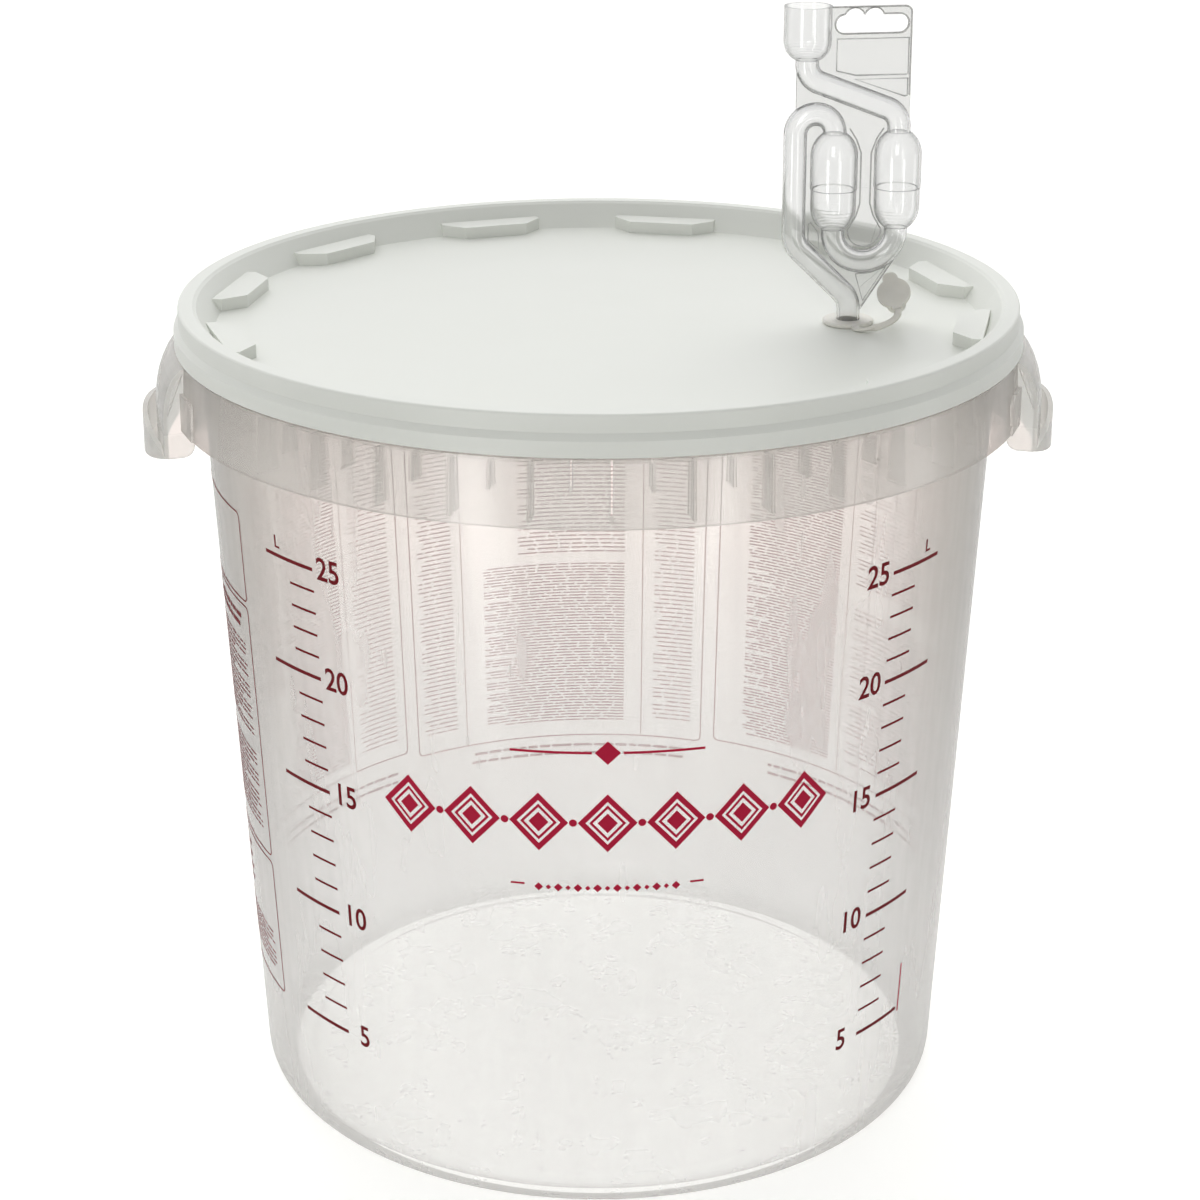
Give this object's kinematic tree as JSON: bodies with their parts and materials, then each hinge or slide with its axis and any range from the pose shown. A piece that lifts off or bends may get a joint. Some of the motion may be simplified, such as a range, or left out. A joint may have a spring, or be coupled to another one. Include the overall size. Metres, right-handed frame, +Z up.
{
  "type": "fermentation container",
  "caption": "Tapered plastic bucket with pocket grips, press-on lid with stacking ring, soft grommet with tethered stopper, and a clear twin-bubble airlock.",
  "frame": {"origin": "centre of the foot, on the surface that the bucket stands on", "axes": "+Z up; -Y towards the pry tab and the picture's camera; the grips lie along +X and -X"},
  "size_m": [0.4164, 0.3852, 0.5083],
  "materials": {
    "natural_plastic": "translucent natural polypropylene, satin gloss",
    "white_plastic": "white polypropylene, satin",
    "seal_rubber": "matt rubber",
    "soft_rubber": "matt soft elastomer, warm grey",
    "clear_plastic": "clear glossy vinyl"
  },
  "bodies": {
    "bucket": {"bucket": "natural_plastic", "left_grip": "natural_plastic", "right_grip": "natural_plastic"},
    "lid": {"lid": "white_plastic", "lid_gasket": "seal_rubber"},
    "grommet": {"grommet": "soft_rubber"},
    "stopper": {"stopper_strap": "soft_rubber", "stopper": "soft_rubber"},
    "airlock": {"airlock": "clear_plastic"}
  },
  "joints": [
    {"name": "lid_lift", "type": "slide", "parent": "bucket", "child": "lid", "axis": [0, 0, 1], "range_m": [0, 0.12]},
    {"name": "grommet_turn", "type": "hinge", "parent": "lid", "child": "grommet", "pos_m": [0.11233, -0.01399, 0.3643], "axis": [0, 0, 1], "continuous": true},
    {"name": "stopper_swing", "type": "hinge", "parent": "grommet", "child": "stopper", "pos_m": [0.1145, -0.02772, 0.3653], "axis": [0, 0, 1], "range_deg": [-40, 4], "deforming": ["stopper_strap"]},
    {"name": "airlock_lift", "type": "slide", "parent": "grommet", "child": "airlock", "axis": [0, 0, 1], "range_m": [0, 0.045]}
  ]
}
